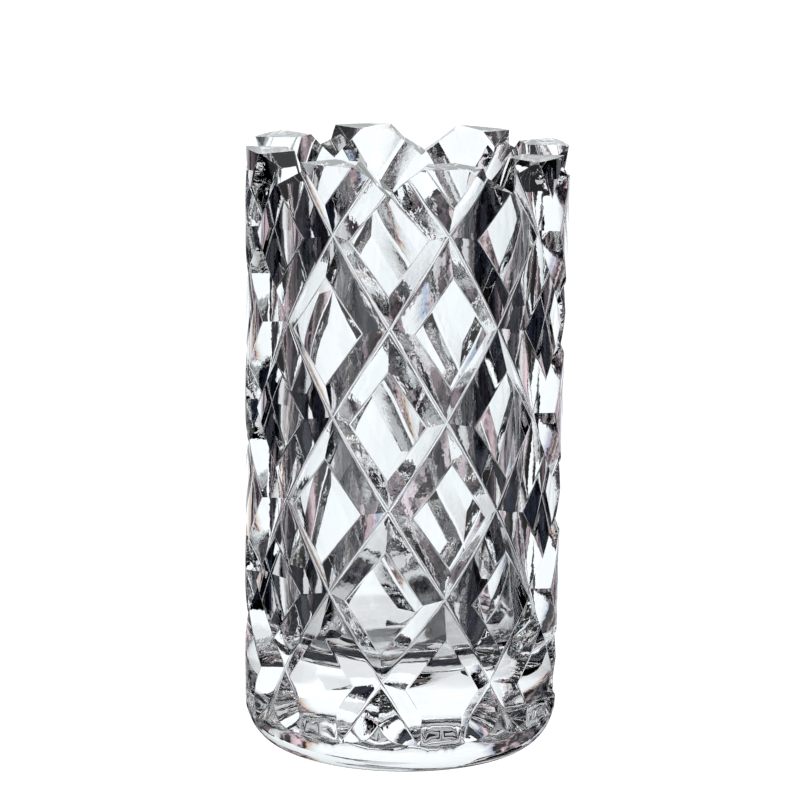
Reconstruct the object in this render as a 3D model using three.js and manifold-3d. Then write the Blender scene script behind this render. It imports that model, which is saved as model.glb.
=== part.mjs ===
// A cut crystal vase: one thick cylinder of clear glass, blown and ground to size, then cut on the wheel.
// Sixteen straight mitre grooves, eight leaning each way, wind round the wall and cross in a diamond lattice.
// Eight open mitre notches across the rim leave eight flat-topped teeth.
// Millimetres, +Z up. The origin is the centre of the flat base, and one notch is centred on -Y.

import * as THREE from 'three';
import { mergeVertices } from 'three/addons/utils/BufferGeometryUtils.js';
import Module from 'manifold-3d';

// ---- body ----
const height = 200;
const radiusAtBase = 52.0;      // the wall opens very slightly towards the rim
const radiusAtRim = 53.0;
const heelHeight = 16;          // elliptical round between the flat base and the wall
const heelInset = 13;
const wallThickness = 13;       // at the rim
const cavityFloorHeight = 32;   // thick solid bottom
const cavityFloorRound = 13;    // round between the cavity's floor and its wall
const bodySides = 64;
const arcSteps = 8;

// ---- groove lattice ----
const toothCount = 8;
const rowPitch = 29.2;          // height between one row of crossings and the next
const topRowHeight = 176.3;     // highest row of crossings, centred under the teeth
const grooveDepth = 5.2;
const grooveUpperWidth = 6.3;   // from the groove's bottom line to its upper edge, along the wall's surface
const grooveLowerWidth = 7.2;   // the wheel leans a little, so the lower wall of each groove is the wider
const grooveEndHeight = 12.2;   // the wheel leaves the glass here, low on the heel
const grooveRunOut = 10.2;      // height over which the groove rises to the surface and ends in a point
const grooveRunOutPower = 3;    // how late and how sharply it rises
const grooveTopHeight = 206;    // the cutter passes out over the rim
const grooveOverhang = 2.5;     // cutter body outside the wall
const grooveSteps = 30;
const grooveStepPower = 1.5;    // crowds the cutter's steps towards its curved lower end

// ---- rim notches ----
const notchFloorHeight = 191.2; // lowest line of each notch
const notchSlope = THREE.MathUtils.degToRad(39);
const notchCutterTop = 206;

const pitchAngle = (2 * Math.PI) / toothCount;
const grooveLean = (pitchAngle / 2) / rowPitch;      // radians of turn for each millimetre of height
const innerRadius = (radiusAtBase + radiusAtRim) / 2 - wallThickness;

const wasm = await Module();
wasm.setup();

// ---- solids ----

function toSolid(geometry) {
  const bare = geometry.index ? geometry.toNonIndexed() : geometry.clone();
  bare.deleteAttribute('normal');
  bare.deleteAttribute('uv');
  const merged = mergeVertices(bare, 1e-4);
  const mesh = new wasm.Mesh({
    numProp: 3,
    vertProperties: new Float32Array(merged.attributes.position.array),
    triVerts: new Uint32Array(merged.index.array),
  });
  return new wasm.Manifold(mesh);
}

function toGeometry(solid) {
  const mesh = solid.getMesh();
  const geometry = new THREE.BufferGeometry();
  geometry.setAttribute('position', new THREE.BufferAttribute(new Float32Array(mesh.vertProperties), 3));
  geometry.setIndex(new THREE.BufferAttribute(new Uint32Array(mesh.triVerts), 1));
  geometry.computeVertexNormals();
  return geometry;
}

function outerRadiusAt(z) {
  return THREE.MathUtils.lerp(radiusAtBase, radiusAtRim, z / height);
}

// Points on a quarter-ellipse, from one angle to the other about its centre.
function arcPoints(centreR, centreZ, width, rise, fromAngle, toAngle) {
  const points = [];
  for (let i = 0; i <= arcSteps; i += 1) {
    const angle = THREE.MathUtils.lerp(fromAngle, toAngle, i / arcSteps);
    points.push(new THREE.Vector2(centreR + width * Math.cos(angle), centreZ + rise * Math.sin(angle)));
  }
  return points;
}

// The blank before cutting: base, round heel, wall, flat rim, deep round-cornered cavity.
function makeBlank() {
  const heelTop = outerRadiusAt(heelHeight);
  const floorCentre = cavityFloorHeight + cavityFloorRound;
  const profile = [
    new THREE.Vector2(0, 0),
    ...arcPoints(heelTop - heelInset, heelHeight, heelInset, heelHeight, -Math.PI / 2, 0),
    new THREE.Vector2(radiusAtRim, height),
    new THREE.Vector2(innerRadius, height),
    ...arcPoints(innerRadius - cavityFloorRound, floorCentre, cavityFloorRound, cavityFloorRound, 0, -Math.PI / 2),
    new THREE.Vector2(0, cavityFloorHeight),
  ];
  const blank = new THREE.LatheGeometry(profile, bodySides);
  blank.rotateX(Math.PI / 2);           // the lathe turns about Y, the vase stands on Z
  return toSolid(blank);
}

// ---- grooves ----

// How deep the groove runs at a height: full depth up the wall, leaving the glass along the wheel's own arc.
function grooveDepthAt(z) {
  const short = Math.max(0, 1 - (z - grooveEndHeight) / grooveRunOut);
  return grooveDepth * (1 - short ** grooveRunOutPower);
}

// A straight V bar, extruded along the groove, then bent round the wall at its lean. The section's first axis
// runs clockwise round the vase, so the bar stays right way out once its second axis points away from the wall.
function makeGroove(startAngle, turnSign) {
  const flare = (grooveDepth + grooveOverhang) / grooveDepth;
  const section = new THREE.Shape([
    new THREE.Vector2(0, -grooveDepth),
    new THREE.Vector2(turnSign * grooveUpperWidth * flare, grooveOverhang),
    new THREE.Vector2(-turnSign * grooveLowerWidth * flare, grooveOverhang),
  ]);
  const bar = new THREE.ExtrudeGeometry(section, { depth: 1, steps: grooveSteps, bevelEnabled: false });
  const bottomHeight = grooveEndHeight - grooveRunOut * 0.1;
  const meanRadius = (radiusAtBase + radiusAtRim) / 2;
  const leanAngle = Math.atan(grooveLean * meanRadius);
  const position = bar.attributes.position;
  for (let i = 0; i < position.count; i += 1) {
    const along = position.getZ(i) ** grooveStepPower;
    const centreHeight = THREE.MathUtils.lerp(bottomHeight, grooveTopHeight, along);
    const across = -position.getX(i);
    const lift = position.getY(i) + grooveDepth - grooveDepthAt(centreHeight);
    const z = centreHeight - turnSign * across * Math.sin(leanAngle);
    const angle = startAngle + turnSign * centreHeight * grooveLean + (across * Math.cos(leanAngle)) / meanRadius;
    const radius = outerRadiusAt(z) + lift;
    position.setXYZ(i, radius * Math.sin(angle), -radius * Math.cos(angle), z);
  }
  return toSolid(bar);
}

// ---- rim notches ----

// A V prism lying along the radius, its lowest line level across the wall.
function makeNotch(angle) {
  const rise = notchCutterTop - notchFloorHeight;
  const halfWidth = rise / Math.tan(notchSlope);
  const reach = radiusAtRim + grooveOverhang - innerRadius / 2;
  const section = new THREE.Shape([
    new THREE.Vector2(0, notchFloorHeight),
    new THREE.Vector2(halfWidth, notchCutterTop),
    new THREE.Vector2(-halfWidth, notchCutterTop),
  ]);
  const prism = new THREE.ExtrudeGeometry(section, { depth: reach, bevelEnabled: false });
  prism.translate(0, 0, innerRadius / 2);
  prism.rotateX(Math.PI / 2);           // the section stands up and the prism runs out along -Y
  prism.rotateZ(angle);
  return toSolid(prism);
}

// ---- the vase ----

function makeVase() {
  let glass = makeBlank();
  const phaseAtTopRow = pitchAngle / 2; // the top row of crossings lies midway between notches
  for (let i = 0; i < toothCount; i += 1) {
    for (const turnSign of [1, -1]) {
      const startAngle = i * pitchAngle + phaseAtTopRow - turnSign * topRowHeight * grooveLean;
      glass = glass.subtract(makeGroove(startAngle, turnSign));
    }
    glass = glass.subtract(makeNotch(i * pitchAngle));
  }
  return glass;
}

const crystal = new THREE.MeshStandardMaterial({
  color: 0xf2f8fb,
  roughness: 0.03,
  metalness: 0,
  transparent: true,
  opacity: 0.35,
});

const vaseBody = new THREE.Mesh(toGeometry(makeVase()), crystal);
vaseBody.name = 'vase_body';

const vase = new THREE.Group();
vase.add(vaseBody);

export default vase;
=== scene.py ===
import math
import bmesh
import bpy
from mathutils import Matrix, Vector, noise


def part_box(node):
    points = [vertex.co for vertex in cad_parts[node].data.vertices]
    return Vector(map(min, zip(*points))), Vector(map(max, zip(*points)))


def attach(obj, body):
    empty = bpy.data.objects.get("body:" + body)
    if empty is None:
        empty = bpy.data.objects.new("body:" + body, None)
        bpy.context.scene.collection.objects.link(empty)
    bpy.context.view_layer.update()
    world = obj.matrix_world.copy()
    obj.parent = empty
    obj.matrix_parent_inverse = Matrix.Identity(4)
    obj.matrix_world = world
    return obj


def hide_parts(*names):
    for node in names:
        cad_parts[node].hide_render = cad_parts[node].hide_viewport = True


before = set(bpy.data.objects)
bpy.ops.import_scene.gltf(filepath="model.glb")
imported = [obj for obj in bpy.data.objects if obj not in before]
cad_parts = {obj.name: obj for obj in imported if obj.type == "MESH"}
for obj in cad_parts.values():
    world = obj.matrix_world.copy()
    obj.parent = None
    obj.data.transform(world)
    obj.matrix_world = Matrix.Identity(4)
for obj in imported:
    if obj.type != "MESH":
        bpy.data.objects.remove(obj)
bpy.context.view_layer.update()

mm = 0.001
lowCorner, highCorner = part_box("vase_body")


# ---- the cut glass ----

vase = {
    "height": highCorner[2] - lowCorner[2],
    "rimRadius": (highCorner[0] - lowCorner[0]) / 2,
    "taper": 1.0 * mm,              # the foot of the wall is this much narrower than the rim
    "heelHeight": 16.0 * mm,        # the round between the flat base and the wall
    "heelInset": 13.0 * mm,
    "wall": 12.95 * mm,
    "floor": 32.0 * mm,
    "floorRound": 13.0 * mm,
}

cuts = {
    "teeth": 8,
    "rowPitch": 29.2 * mm,
    "topRow": 176.3 * mm,
    "depth": 5.2 * mm,
    "upperWidth": 6.3 * mm,
    "lowerWidth": 7.2 * mm,
    "endHeight": 12.2 * mm,
    "runOut": 10.2 * mm,            # height over which a groove rises to the surface and ends in a point
    "runOutCurve": 3.0,
    "bottomRound": 0.095,           # share of the groove's half width that is rounded at its bottom line
    "shoulderRound": 0.025,         # and at its edge
    "wavesFrom": 0.1,               # share of the depth at which the wheel's waves reach their full height
    "notchFloor": 191.2 * mm,
    "notchSlope": math.radians(39),
}

mesh = {
    "wallSteps": 6,                 # faces across each groove wall
    "paneSteps": 11,                # faces across each uncut diamond
    "pastShoulder": 2.5,            # rounded edges are this many times wider on the sheet than their rounding
    "rightLines": (-1.5, 7),        # first groove of each family on the sheet, and how many periods follow
    "leftLines": (-5.5, 9),
    "sideSpare": 0.25,              # radians of sheet kept past each side of the sector until it is trimmed
    "endSpare": (6.0 * mm, 12.0 * mm),      # and below and above the vase
    "crossPasses": 4,               # rounds in which the two families of grooves settle on each other
    "slantPasses": 3,
    "sheetFoot": 8.0 * mm,          # below this height there are no cuts, and the heel is plain
    "heelSteps": 12,
    "baseRim": 0.6 * mm,            # narrow ring that keeps the flat base flat up to its edge
    "sectorSteps": 16,              # faces round the cavity in one sixteenth of a turn
    "cavityRows": 44,
    "cavityRise": 2.0 * mm,         # how far it stands above the rim until the rim is cut
    "cavityRoundSteps": 12,
    "cavityFloorSteps": 8,
    "cutReach": 1.5 * mm,           # past the cavity's radius, a cut line belongs to the outside of the wall
    "touching": 1e-7,
    "merge": 1e-6,
    "seamMerge": 2e-6,
    "smoothBelow": math.radians(24),
}

handwork = {                        # how far hand cutting strays from the drawn pattern
    "seed": Vector((-14.24, 26.39, -24.36)),
    "drift": 3.2 * mm,              # along the wall, before the noise scales it down
    "driftScale": 10.0,
    "sink": 0.22 * mm,              # into the wall
    "sinkScale": 1.7,               # times the drift's scale
    "upwardSeed": Vector((9, 4, 2)),
    "sinkSeed": Vector((1, 8, 5)),
    "belowRim": (12 * mm, 12 * mm),     # where upward drift and sink start, and the height they fade in over
    "aboveFoot": (14 * mm, 10 * mm),
    "turnFrom": (2 * mm, 14 * mm),      # the same for the drift round the wall
    "outside": 1.0 * mm,            # further out than the cavity by this, a point is on the outside
    "cavityWave": 0.32 * mm,        # the polished inside
    "cavityScale": 45.0,
    "cavityEnds": (1 * mm, 10 * mm),    # left out at the cavity's floor and rim
    "cavityFade": 6 * mm,
}

pitchAngle = 2 * math.pi / cuts["teeth"]
turnPerHeight = pitchAngle / 2 / cuts["rowPitch"]
meanRadius = vase["rimRadius"] - vase["taper"] / 2
cavityRadius = meanRadius - vase["wall"]
lean = math.atan(turnPerHeight * meanRadius)
acrossPitch = pitchAngle * meanRadius * math.cos(lean)      # from groove to parallel groove, square across


def outerRadius(z):
    radius = vase["rimRadius"] - vase["taper"] * (1 - z / vase["height"])
    if z < vase["heelHeight"]:
        drop = 1 - z / vase["heelHeight"]
        radius -= vase["heelInset"] * (1 - math.sqrt(max(0.0, 1 - drop * drop)))
    return radius


def grooveProfile(t):               # 1 at the bottom line, 0 at the edge, both rounded
    bottom = cuts["bottomRound"]
    edge = cuts["shoulderRound"]
    if t < bottom:
        return 1 - bottom / 2 - t * t / (2 * bottom)
    if t < 1 - edge:
        return 1 - t
    if t < 1 + edge:
        return (1 + edge - t) ** 2 / (4 * edge)
    return 0.0


def lineSpacing():                  # the sheet's lines on one side of a groove, 0 to just past its edge
    bottom = cuts["bottomRound"]
    edge = cuts["shoulderRound"]
    past = mesh["pastShoulder"] * edge
    start = bottom * 1.5
    end = 1 - past
    lines = [0, bottom / 3, bottom * 2 / 3, bottom]
    for i in range(mesh["wallSteps"] + 1):
        lines.append(start + (end - start) * i / mesh["wallSteps"])
    return lines + [1 - edge, 1, 1 + edge, 1 + past]


def periodLines(plusWidth, minusWidth):     # one period of the lattice, groove bottom to groove bottom
    side = lineSpacing()
    plus = [(t * plusWidth / acrossPitch, t, 1) for t in side]
    minus = [(1 - t * minusWidth / acrossPitch, t, -1) for t in reversed(side)]
    first, last = plus[-1][0], minus[0][0]
    pane = []
    for i in range(1, mesh["paneSteps"]):
        share = i / mesh["paneSteps"]
        pane.append((first + (last - first) * share, share, 0))
    return plus + pane + minus[:-1]


def rise(z):                        # how much of its full depth a groove has at a height
    short = max(0.0, 1 - (z - cuts["endHeight"]) / cuts["runOut"])
    return max(0.0, 1 - short ** cuts["runOutCurve"])


def makeLatticeSheet():             # one flat grid, drawn to the grooves, sunk, and bent round the wall
    right = periodLines(cuts["lowerWidth"], cuts["upperWidth"])
    left = periodLines(cuts["upperWidth"], cuts["lowerWidth"])
    perPeriod = len(right)
    rightFirst, rightCount = mesh["rightLines"]
    leftFirst, leftCount = mesh["leftLines"]
    columns = perPeriod * rightCount
    rows = perPeriod * leftCount
    bm = bmesh.new()
    bmesh.ops.create_grid(bm, x_segments=columns, y_segments=rows, size=1)
    place = bm.verts.layers.int.new("place")
    ground = bm.verts.layers.float.new("ground")    # 1 on the walls of the cuts, where the wheel left waves
    for vert in bm.verts:
        i = round((vert.co.x + 1) / 2 * columns)
        j = round((vert.co.y + 1) / 2 * rows)
        vert[place] = i * (rows + 1) + j
    sideSpare = mesh["sideSpare"]
    lowest = -mesh["endSpare"][0]
    highest = vase["height"] + mesh["endSpare"][1]
    outside = []                    # what lies well outside the sector goes before the costly steps
    for vert in bm.verts:
        i, j = divmod(vert[place], rows + 1)
        p = rightFirst + i // perPeriod + right[i % perPeriod][0]
        q = leftFirst + j // perPeriod + left[j % perPeriod][0]
        angle = pitchAngle * (p + q) / 2
        z = cuts["topRow"] + cuts["rowPitch"] * (q - p)
        if not (-sideSpare < angle < pitchAngle / 2 + sideSpare and lowest < z < highest):
            outside.append(vert)
    bmesh.ops.delete(bm, geom=outside, context="VERTS")
    splits = []                     # faces on the crease where two groove walls meet, split along it
    sideCount = len(lineSpacing()) - 1
    for face in bm.faces:
        cells = [divmod(vert[place], rows + 1) for vert in face.verts]
        i = min(cell[0] for cell in cells)
        j = min(cell[1] for cell in cells)
        a, b = i % perPeriod, j % perPeriod
        aPlus, aMinus = a < sideCount, a >= perPeriod - sideCount
        bPlus, bMinus = b < sideCount, b >= perPeriod - sideCount
        aFar = a if aPlus else perPeriod - 1 - a
        bFar = b if bPlus else perPeriod - 1 - b
        if (aPlus or aMinus) and (bPlus or bMinus) and aFar == bFar:
            rising = aPlus == bPlus
            ends = [(i, j), (i + 1, j + 1)] if rising else [(i + 1, j), (i, j + 1)]
            corners = {cell: vert for cell, vert in zip(cells, face.verts)}
            splits.append((face, corners[ends[0]], corners[ends[1]]))
    for face, first, second in splits:
        bmesh.utils.face_split(face, first, second)
    for vert in bm.verts:
        i, j = divmod(vert[place], rows + 1)
        pLine, qLine = rightFirst + i // perPeriod, leftFirst + j // perPeriod
        p, q = pLine + right[i % perPeriod][0], qLine + left[j % perPeriod][0]
        # where one family of grooves closes in, it moves the lines of the other
        for again in range(mesh["crossPasses"]):
            onLine = cuts["topRow"] + cuts["rowPitch"] * (q - pLine)
            part, pDepth = shapeAcross(right[i % perPeriod], onLine, -1)
            p = pLine + part
            onLine = cuts["topRow"] + cuts["rowPitch"] * (qLine - p)
            part, qDepth = shapeAcross(left[j % perPeriod], onLine, 1)
            q = qLine + part
        angle = pitchAngle * (p + q) / 2
        z = cuts["topRow"] + cuts["rowPitch"] * (q - p)
        radius = outerRadius(z) - max(pDepth, qDepth)
        vert.co = (radius * math.sin(angle), -radius * math.cos(angle), z)
        vert[ground] = min(1.0, max(pDepth, qDepth) / (cuts["wavesFrom"] * cuts["depth"]))
    # below a groove's tip its lines are one
    bmesh.ops.remove_doubles(bm, verts=bm.verts[:], dist=mesh["merge"])
    return bm


def riseAcross(z, reach):           # the same beside the bottom line, where reach is how far up in periods
    slip = cuts["rowPitch"] - acrossPitch * math.sin(lean)
    share = rise(z)
    for again in range(mesh["slantPasses"]):
        share = rise(z + slip * reach * share)
    return share


def shapeAcross(line, z, upward):   # where a line lies in its period, and how deep, beside height z
    part, share, side = line
    plusWidth = cuts["upperWidth"] if upward == 1 else cuts["lowerWidth"]
    minusWidth = cuts["lowerWidth"] if upward == 1 else cuts["upperWidth"]
    nextZ = z + upward * cuts["rowPitch"]
    if side == 1:
        near = riseAcross(z, upward * part)
        return part * near, cuts["depth"] * near * grooveProfile(share)
    if side == -1:
        near = riseAcross(nextZ, -upward * (1 - part))
        return 1 - (1 - part) * near, cuts["depth"] * near * grooveProfile(share)
    pastEdge = 1 + mesh["pastShoulder"] * cuts["shoulderRound"]
    plusEdge = pastEdge * plusWidth / acrossPitch
    minusEdge = pastEdge * minusWidth / acrossPitch
    first = plusEdge * riseAcross(z, upward * plusEdge)
    last = 1 - minusEdge * riseAcross(nextZ, -upward * minusEdge)
    return first + (last - first) * share, 0.0


def cutAway(bm, point, normal):     # removes what lies on the side the normal points to
    bmesh.ops.bisect_plane(
        bm, geom=bm.verts[:] + bm.edges[:] + bm.faces[:], dist=mesh["touching"],
        plane_co=point, plane_no=normal, clear_outer=True, clear_inner=False,
    )


def angleOf(vert):
    return math.atan2(vert.co.x, -vert.co.y)


def trimSheet(bm):                  # from the middle of a notch to the middle of the next tooth
    half = pitchAngle / 2
    cutAway(bm, (0, 0, 0), (-1, 0, 0))
    cutAway(bm, (0, 0, 0), (math.cos(half), math.sin(half), 0))
    cutAway(bm, (0, 0, mesh["sheetFoot"]), (0, 0, -1))


def edgesAmong(edges, verts):
    return [edge for edge in edges if edge.verts[0] in verts and edge.verts[1] in verts]


def addHeelAndBase(bm):
    foot = {vert for vert in bm.verts if abs(vert.co.z - mesh["sheetFoot"]) < mesh["merge"]}
    edges = edgesAmong([edge for edge in bm.edges if edge.is_boundary], foot)
    startAngle = math.asin(1 - mesh["sheetFoot"] / vase["heelHeight"])
    centreRadius = outerRadius(vase["heelHeight"]) - vase["heelInset"]
    outline = []
    for i in range(1, mesh["heelSteps"] + 1):
        angle = startAngle + (math.pi / 2 - startAngle) * i / mesh["heelSteps"]
        radius = centreRadius + vase["heelInset"] * math.cos(angle)
        outline.append((radius, vase["heelHeight"] * (1 - math.sin(angle))))
    flat = outline[-1][0]
    outline += [(flat - mesh["baseRim"], 0.0), (flat / 2, 0.0)]
    for radius, z in outline:
        result = bmesh.ops.extrude_edge_only(bm, edges=edges)
        verts = [item for item in result["geom"] if isinstance(item, bmesh.types.BMVert)]
        edges = [item for item in result["geom"] if isinstance(item, bmesh.types.BMEdge)]
        for vert in verts:
            around = angleOf(vert)
            vert.co = (radius * math.sin(around), -radius * math.cos(around), max(z, 0.0))
        edges = edgesAmong(edges, set(verts))
    centre = bm.verts.new((0, 0, 0))
    for edge in edges:
        bm.faces.new((edge.verts[0], edge.verts[1], centre))


def addCavity(bm):
    radius = cavityRadius
    top = vase["height"] + mesh["cavityRise"]
    bend = vase["floorRound"]
    roundSteps, floorSteps = mesh["cavityRoundSteps"], mesh["cavityFloorSteps"]
    outline = []
    for i in range(mesh["cavityRows"] + 1):
        share = i / mesh["cavityRows"]
        outline.append((radius, top + (vase["floor"] + bend - top) * share))
    for i in range(1, roundSteps + 1):
        angle = math.pi / 2 * i / roundSteps
        inward, upward = bend * (1 - math.cos(angle)), bend * (1 - math.sin(angle))
        outline.append((radius - inward, vase["floor"] + upward))
    flat = radius - bend
    for i in range(1, floorSteps + 1):
        outline.append((flat * (1 - i / floorSteps), vase["floor"]))
    verts = [bm.verts.new((0, -r, z)) for r, z in outline]
    edges = [bm.edges.new(pair) for pair in zip(verts, verts[1:])]
    bmesh.ops.spin(
        bm, geom=verts + edges, cent=(0, 0, 0), axis=(0, 0, 1), dvec=(0, 0, 0),
        angle=pitchAngle / 2, steps=mesh["sectorSteps"], use_merge=False, use_duplicate=False,
    )
    bmesh.ops.remove_doubles(bm, verts=bm.verts[:], dist=mesh["merge"])


def closeCut(bm, point, normal):    # one flat face from the cut line outside to the one inside
    cutVerts = [vert for vert in bm.verts if abs((vert.co - point).dot(normal)) < mesh["touching"]]
    middle = cavityRadius + mesh["cutReach"]
    outer = [vert for vert in cutVerts if vert.co.xy.length > middle]
    inner = [vert for vert in cutVerts if vert.co.xy.length <= middle]
    outer.sort(key=angleOf)
    inner.sort(key=angleOf, reverse=True)
    bm.faces.new(outer + inner)
    return len(cutVerts)


def cutRim(bm):                     # half a tooth's flat top and one slope of the notch beside it
    slope = cuts["notchSlope"]
    top, floor = Vector((0, 0, vase["height"])), Vector((0, 0, cuts["notchFloor"]))
    upward, outward = Vector((0, 0, 1)), Vector((-math.sin(slope), 0, math.cos(slope)))
    cutAway(bm, top, upward)
    cutAway(bm, floor, outward)
    onTop = closeCut(bm, top, upward)
    onSlope = closeCut(bm, floor, outward)
    print("rim:", onTop, "vertices on the tooth,", onSlope, "on the notch")


def makeGlass():
    bm = makeLatticeSheet()
    print("sheet:", len(bm.verts), "vertices")
    trimSheet(bm)
    addHeelAndBase(bm)
    addCavity(bm)
    cutRim(bm)
    print("sixteenth:", len(bm.verts), "vertices")
    half = bm.verts[:] + bm.edges[:] + bm.faces[:]
    bmesh.ops.mirror(bm, geom=half, matrix=Matrix.Identity(4), merge_dist=mesh["merge"], axis="X")
    sector = bm.verts[:] + bm.edges[:] + bm.faces[:]
    bmesh.ops.spin(
        bm, geom=sector, cent=(0, 0, 0), axis=(0, 0, 1), dvec=(0, 0, 0),
        angle=2 * math.pi - pitchAngle, steps=cuts["teeth"] - 1, use_merge=False, use_duplicate=True,
    )
    bmesh.ops.remove_doubles(bm, verts=bm.verts[:], dist=mesh["seamMerge"])
    bmesh.ops.recalc_face_normals(bm, faces=bm.faces[:])
    return bm


def reportMesh(bm):
    openEdges = sum(not edge.is_manifold for edge in bm.edges)
    triangles = sum(len(face.verts) - 2 for face in bm.faces)
    cubicCentimetres = round(bm.calc_volume(signed=True) * 1e6, 1)
    print("glass:", len(bm.verts), "vertices,", triangles, "triangles,", openEdges, "open edges,",
          cubicCentimetres, "cm3")


def fade(distance, over):           # 0 to 1 as a distance grows
    return min(1.0, max(0.0, distance / over))


def strayByHand(bm):                # the wheel is guided by hand, so no two diamonds are quite alike
    seed = handwork["seed"]
    fromRim, rimFade = handwork["belowRim"]
    foot, footFade = handwork["aboveFoot"]
    turnFoot, turnFade = handwork["turnFrom"]
    fromFloor, fromTop = handwork["cavityEnds"]
    rim = vase["height"] - fromRim
    cavityTop = vase["height"] - fromTop
    middle = vase["rimRadius"] - vase["wall"] + handwork["outside"]
    for vert in bm.verts:
        co = vert.co.copy()
        radius = co.xy.length
        if radius < mesh["merge"]:
            continue
        spot = co * handwork["driftScale"] + seed
        if radius > middle:
            inner = fade(rim - co.z, rimFade) * fade(co.z - foot, footFade)
            around = noise.noise(spot) * handwork["drift"] / radius
            upward = noise.noise(spot + handwork["upwardSeed"]) * handwork["drift"] * inner
            depth = noise.noise(spot * handwork["sinkScale"] + handwork["sinkSeed"])
            sink = (0.5 + 0.5 * depth) * handwork["sink"] * inner
            angle = angleOf(vert) + around * fade(co.z - turnFoot, turnFade)
            vert.co = ((radius - sink) * math.sin(angle), -(radius - sink) * math.cos(angle), co.z + upward)
        elif vase["floor"] + fromFloor < co.z < cavityTop:
            wave = noise.noise(co * handwork["cavityScale"] + seed) * handwork["cavityWave"]
            vert.co.xy *= 1 + wave * fade(cavityTop - co.z, handwork["cavityFade"]) / radius


def markEdges(bm):                  # polished curves stay smooth, and cut edges stay sharp
    for face in bm.faces:
        face.smooth = True
    for edge in bm.edges:
        edge.smooth = edge.calc_face_angle(0.0) < mesh["smoothBelow"]


# ---- crystal ----

crystal = {
    "tint": (0.985, 0.995, 1.0, 1),
    "ior": 1.55,
    "roughness": 0.0,
    "ripple": 0.045 * mm,           # height of the waves that the wheel leaves on a cut wall
    "rippleScale": 390.0,
    "rippleDetail": 2.0,
    "swell": 0.02 * mm,             # long slow waves everywhere
    "swellScale": 90.0,
    "swellDetail": 0.0,
}


def noiseTexture(nodes, links, place, scale, detail):
    noiseNode = nodes.new("ShaderNodeTexNoise")
    noiseNode.inputs["Scale"].default_value = scale
    noiseNode.inputs["Detail"].default_value = detail
    links.new(place.outputs["Object"], noiseNode.inputs["Vector"])
    return noiseNode


def crystalMaterial():
    material = bpy.data.materials.new("cut_crystal")
    material.use_nodes = True
    nodes = material.node_tree.nodes
    links = material.node_tree.links
    shader = nodes["Principled BSDF"]
    shader.inputs["Base Color"].default_value = crystal["tint"]
    shader.inputs["Roughness"].default_value = crystal["roughness"]
    shader.inputs["IOR"].default_value = crystal["ior"]
    shader.inputs["Transmission Weight"].default_value = 1.0
    place = nodes.new("ShaderNodeTexCoord")
    ground = nodes.new("ShaderNodeAttribute")
    ground.attribute_name = "ground"
    ripple = noiseTexture(nodes, links, place, crystal["rippleScale"], crystal["rippleDetail"])
    swell = noiseTexture(nodes, links, place, crystal["swellScale"], crystal["swellDetail"])
    onWalls = nodes.new("ShaderNodeMath")
    onWalls.operation = "MULTIPLY"
    height = nodes.new("ShaderNodeMath")
    height.operation = "MULTIPLY_ADD"
    height.inputs[1].default_value = crystal["swell"] / crystal["ripple"]
    bump = nodes.new("ShaderNodeBump")
    bump.inputs["Strength"].default_value = 1.0
    bump.inputs["Distance"].default_value = crystal["ripple"]
    links.new(ripple.outputs["Fac"], onWalls.inputs[0])
    links.new(ground.outputs["Fac"], onWalls.inputs[1])
    links.new(swell.outputs["Fac"], height.inputs[0])
    links.new(onWalls.outputs["Value"], height.inputs[2])
    links.new(height.outputs["Value"], bump.inputs["Height"])
    links.new(bump.outputs["Normal"], shader.inputs["Normal"])
    return material


def addVase():
    bm = makeGlass()
    strayByHand(bm)
    markEdges(bm)
    reportMesh(bm)
    data = bpy.data.meshes.new("vase_glass")
    bm.to_mesh(data)
    bm.free()
    piece = bpy.data.objects.new("vase_glass", data)
    bpy.context.scene.collection.objects.link(piece)
    data.materials.append(crystalMaterial())
    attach(piece, "root")
    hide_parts("vase_body")


# ---- camera ----

view = {
    "azimuth": math.radians(6.56),
    "elevation": math.radians(12.49),
    "distance": 1.350,
    "aim": Vector((0, 0, 0.100)),
    "roll": math.radians(0.84),
    "frameLengths": 5.1011,         # focal length over the frame's width
    "shift": (-0.0046, 0.0570),
}


def addCamera():
    data = bpy.data.cameras.new("camera")
    data.sensor_width = 36.0
    data.lens = view["frameLengths"] * data.sensor_width
    data.shift_x, data.shift_y = view["shift"]
    camera = bpy.data.objects.new("camera", data)
    bpy.context.scene.collection.objects.link(camera)
    azimuth, elevation = view["azimuth"], view["elevation"]
    toCamera = Vector((math.sin(azimuth) * math.cos(elevation), -math.cos(azimuth) * math.cos(elevation),
                       math.sin(elevation)))
    camera.location = view["aim"] + toCamera * view["distance"]
    aim = (-toCamera).to_track_quat("-Z", "Y")
    camera.rotation_mode = "QUATERNION"
    camera.rotation_quaternion = aim @ Matrix.Rotation(view["roll"], 4, "Z").to_quaternion()
    bpy.context.scene.camera = camera


# ---- studio ----

dark = (0.007, 0.009, 0.016)
haze = (0.105, 0.082, 0.086)            # the dim room behind the camera
sky = (0.15, 0.19, 0.24)
rose = (0.84, 0.78, 0.79)
white = (0.95, 0.985, 1.0)
paintedWarmFringe = (1.0, 0.70, 0.42)                # painted colour fringe on one side of a bright panel's edge, standing in for the fringes that heavy glass throws
# painted colour fringe on the other side of the edge
paintedCoolFringe = (0.50, 0.70, 1.0)


def grey(level):
    return (level * 0.97, level * 0.985, level)


def pink(level):
    return (level * 1.06, level * 0.84, level * 0.90)


def lilac(level):
    return (level * 1.0, level * 0.89, level * 0.95)


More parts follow.
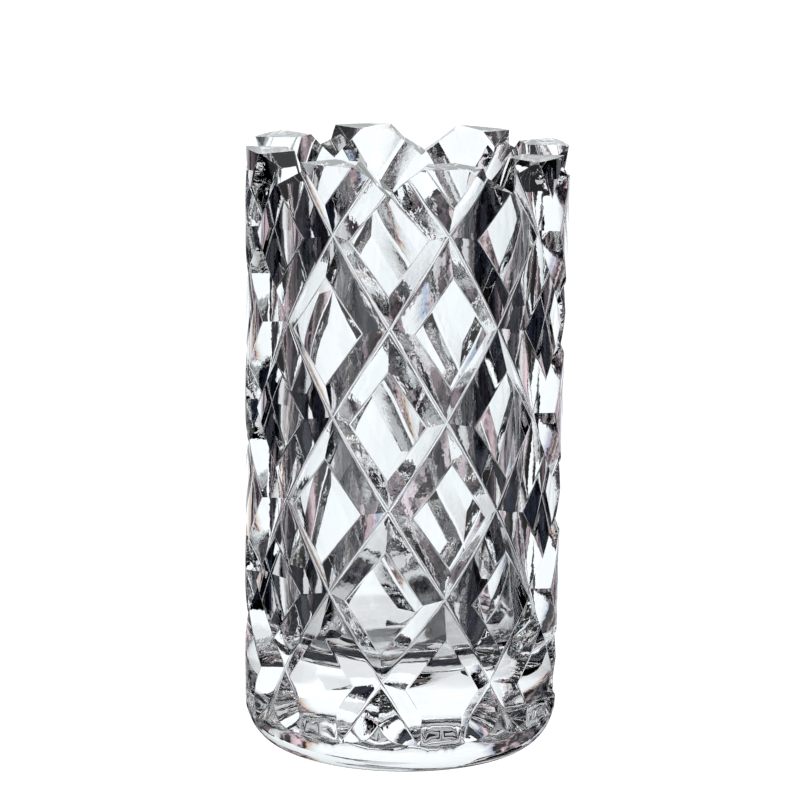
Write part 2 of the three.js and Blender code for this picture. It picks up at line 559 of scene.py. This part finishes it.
studio = {
    "strength": 1.10,
    "gamma": 0.88,                  # below 1 it deepens the middle tones of the picture
    "floorSize": 3.0,
    "floorSides": 64,
    "floorGap": 0.05 * mm,
    "middle": 0.1,                  # height on the vase from which the floor's directions are taken
    "near": [                       # degrees round from straight behind, and the light from the near table
        (-180, grey(0.64)), (-125, grey(0.62)), (-100, grey(0.28)), (-60, grey(0.28)), (-40, grey(0.80)),
        (40, grey(0.80)), (60, grey(0.25)), (100, grey(0.22)), (125, grey(0.60)), (180, grey(0.64)),
    ],
    "table": [                      # from the table farther out
        (-180, haze), (-163, haze), (-157, grey(0.80)), (-118, grey(0.80)), (-112, dark), (-90, dark),
        (-88, grey(0.7)), (-83, grey(0.7)), (-81, dark), (-60, dark), (-50, lilac(0.16)), (-39, lilac(0.34)),
        # the coloured stops beside the white are painted colour fringes
        (-37, paintedWarmFringe), (-36, grey(0.7)), (-31, white), (25.5, white), (28.5, grey(0.75)), (29.2, paintedCoolFringe),
        (30, lilac(0.34)), (45, lilac(0.24)), (55, dark), (112, dark), (118, grey(0.58)), (157, grey(0.58)),
        (163, haze), (180, haze),
    ],
    "panels": [                     # from the panels that stand round it
        (-180, haze), (-163, haze), (-157, rose), (-118, rose), (-112, dark), (-90, dark),
        (-89, grey(0.9)), (-83, grey(0.9)), (-82, dark), (-58, dark), (-46, pink(0.15)), (-30, pink(0.34)),
        # the coloured stops beside the white are painted colour fringes
        (-29, paintedCoolFringe), (-28, grey(0.75)), (-25.5, white), (25.5, white), (28.5, grey(0.75)), (29.2, paintedWarmFringe),
        (30, pink(0.34)), (43, pink(0.26)), (45, grey(0.75)), (50, grey(0.75)), (52, pink(0.1)), (62, dark),
        (112, dark), (118, grey(0.60)), (157, grey(0.60)), (180, haze),
    ],
    "high": [                       # and from above them
        (-180, sky), (-160, sky), (-150, dark), (-64, dark), (-58, grey(0.30)), (-42, grey(0.30)),
        (-36, dark), (24, dark), (30, grey(0.35)), (40, grey(0.60)), (60, grey(0.60)), (100, grey(0.20)),
        (150, dark), (160, sky), (180, sky),
    ],
    "under": grey(0.60),            # painted shadow on the table right beneath the vase, lit in part through its glass base
    "paintedHeelShadow": dark,                   # and a painted shadow where its heel keeps the light out
    "top": white,
    "steps": [-74, -62, -40, -10, 36, 50],  # degrees above level where one gives way to the next
    "soft": 2.0,                    # degrees of blend on each side of a step
    "clutter": 16.0,                # scale of the uneven room seen in the gaps between the panels
    "clutterDetail": 3.0,
    "clutterNoise": (0.42, 0.60),   # this range of the noise
    "clutterLight": (0.05, 2.5),    # multiplies the light by this
    "gapLight": (0.36, 0.50),       # in full below the first level of light, and not at all above the second
}


def fillRamp(ramp, stops):
    elements = ramp.color_ramp.elements
    while len(elements) > 1:
        elements.remove(elements[-1])
    elements[0].position = 0.5 + stops[0][0] / 360
    elements[0].color = (*stops[0][1], 1)
    for degrees, color in stops[1:]:
        elements.new(0.5 + degrees / 360).color = (*color, 1)


def mapRange(nodes, fromRange, toRange):
    node = nodes.new("ShaderNodeMapRange")
    node.inputs["From Min"].default_value, node.inputs["From Max"].default_value = fromRange
    node.inputs["To Min"].default_value, node.inputs["To Max"].default_value = toRange
    return node


def studioGroup():                  # the light that reaches the glass from each direction
    group = bpy.data.node_groups.new("studio_light", "ShaderNodeTree")
    group.interface.new_socket("Direction", in_out="INPUT", socket_type="NodeSocketVector")
    group.interface.new_socket("Color", in_out="OUTPUT", socket_type="NodeSocketColor")
    nodes, links = group.nodes, group.links
    entry = nodes.new("NodeGroupInput")
    out = nodes.new("NodeGroupOutput")
    unit = nodes.new("ShaderNodeVectorMath")
    unit.operation = "NORMALIZE"
    split = nodes.new("ShaderNodeSeparateXYZ")
    around = nodes.new("ShaderNodeMath")
    around.operation = "ARCTAN2"
    share = nodes.new("ShaderNodeMath")
    share.operation = "MULTIPLY_ADD"
    share.inputs[1].default_value = 0.5 / math.pi
    share.inputs[2].default_value = 0.5 + view["azimuth"] / (2 * math.pi)
    wrapped = nodes.new("ShaderNodeMath")
    wrapped.operation = "FRACT"
    links.new(entry.outputs["Direction"], unit.inputs[0])
    links.new(unit.outputs["Vector"], split.inputs["Vector"])
    links.new(split.outputs["X"], around.inputs[0])
    links.new(split.outputs["Y"], around.inputs[1])
    links.new(around.outputs["Value"], share.inputs[0])
    links.new(share.outputs["Value"], wrapped.inputs[0])
    # the lowest layers are painted shade beneath the vase and the painted shadow of its heel
    layers = [(*studio["paintedHeelShadow"], 1)]
    for name in ("near", "table", "panels", "high"):
        ramp = nodes.new("ShaderNodeValToRGB")
        fillRamp(ramp, studio[name])
        links.new(wrapped.outputs["Value"], ramp.inputs["Fac"])
        layers.append(ramp.outputs["Color"])
    layers.append((*studio["top"], 1))
    below = (*studio["under"], 1)
    for degrees, layer in zip(studio["steps"], layers):
        lower = math.sin(math.radians(degrees - studio["soft"]))
        upper = math.sin(math.radians(degrees + studio["soft"]))
        height = mapRange(nodes, (lower, upper), (0.0, 1.0))
        height.interpolation_type = "SMOOTHSTEP"
        step = nodes.new("ShaderNodeMix")
        step.data_type = "RGBA"
        links.new(split.outputs["Z"], height.inputs["Value"])
        links.new(height.outputs["Result"], step.inputs["Factor"])
        for side, color in (("A", below), ("B", layer)):
            if isinstance(color, tuple):
                step.inputs[side].default_value = color
            else:
                links.new(color, step.inputs[side])
        below = step.outputs["Result"]
    clutter = nodes.new("ShaderNodeTexNoise")
    clutter.inputs["Scale"].default_value = studio["clutter"]
    clutter.inputs["Detail"].default_value = studio["clutterDetail"]
    uneven = mapRange(nodes, studio["clutterNoise"], studio["clutterLight"])
    gap = mapRange(nodes, studio["gapLight"], (1.0, 0.0))   # the brightest parts are panels, and stay even
    varied = nodes.new("ShaderNodeMix")
    varied.data_type = "RGBA"
    varied.blend_type = "MULTIPLY"
    varied.clamp_result = False
    links.new(unit.outputs["Vector"], clutter.inputs["Vector"])
    links.new(clutter.outputs["Fac"], uneven.inputs["Value"])
    links.new(below, gap.inputs["Value"])
    links.new(gap.outputs["Result"], varied.inputs["Factor"])
    links.new(below, varied.inputs["A"])
    links.new(uneven.outputs["Result"], varied.inputs["B"])
    links.new(varied.outputs["Result"], out.inputs["Color"])
    return group


def whiteToCamera(nodes, links, color):     # the camera sees a plain white surround, the glass sees the light
    path = nodes.new("ShaderNodeLightPath")
    seen = nodes.new("ShaderNodeMix")
    seen.data_type = "RGBA"
    seen.inputs["B"].default_value = (1, 1, 1, 1)
    links.new(color, seen.inputs["A"])
    links.new(path.outputs["Is Camera Ray"], seen.inputs["Factor"])
    return seen.outputs["Result"]


def addFloor(group):
    bm = bmesh.new()
    bmesh.ops.create_circle(bm, cap_ends=True, segments=studio["floorSides"], radius=studio["floorSize"])
    data = bpy.data.meshes.new("floor")
    bm.to_mesh(data)
    bm.free()
    floor = bpy.data.objects.new("floor", data)
    bpy.context.scene.collection.objects.link(floor)
    floor.location.z = lowCorner[2] - studio["floorGap"]
    # the floor is no lamp but glows: to the glass its emission paints the light a lit table would send, with
    # painted shade beneath the vase; to the camera it is plain white
    material = bpy.data.materials.new("glowing_floor")
    material.use_nodes = True
    nodes = material.node_tree.nodes
    links = material.node_tree.links
    nodes.clear()
    place = nodes.new("ShaderNodeTexCoord")
    down = nodes.new("ShaderNodeVectorMath")
    down.operation = "SUBTRACT"
    down.inputs[1].default_value = (0, 0, studio["middle"])
    light = nodes.new("ShaderNodeGroup")
    light.node_tree = group
    glow = nodes.new("ShaderNodeEmission")
    glow.inputs["Strength"].default_value = studio["strength"]
    out = nodes.new("ShaderNodeOutputMaterial")
    links.new(place.outputs["Object"], down.inputs[0])
    links.new(down.outputs["Vector"], light.inputs["Direction"])
    links.new(whiteToCamera(nodes, links, light.outputs["Color"]), glow.inputs["Color"])
    links.new(glow.outputs["Emission"], out.inputs["Surface"])
    data.materials.append(material)


def addWorld(group):
    world = bpy.data.worlds.new("studio")
    bpy.context.scene.world = world
    world.use_nodes = True
    nodes = world.node_tree.nodes
    links = world.node_tree.links
    nodes.clear()
    place = nodes.new("ShaderNodeTexCoord")
    light = nodes.new("ShaderNodeGroup")
    light.node_tree = group
    back = nodes.new("ShaderNodeBackground")
    back.inputs["Strength"].default_value = studio["strength"]
    out = nodes.new("ShaderNodeOutputWorld")
    links.new(place.outputs["Generated"], light.inputs["Direction"])
    links.new(whiteToCamera(nodes, links, light.outputs["Color"]), back.inputs["Color"])
    links.new(back.outputs["Background"], out.inputs["Surface"])


def setTones():
    settings = bpy.context.scene.view_settings
    settings.view_transform = "Standard"
    settings.gamma = studio["gamma"]


addCamera()
print("camera done")
addVase()
print("vase done")
lightGroup = studioGroup()
addFloor(lightGroup)
addWorld(lightGroup)
setTones()
print("floor and light done")
bpy.context.view_layer.update()
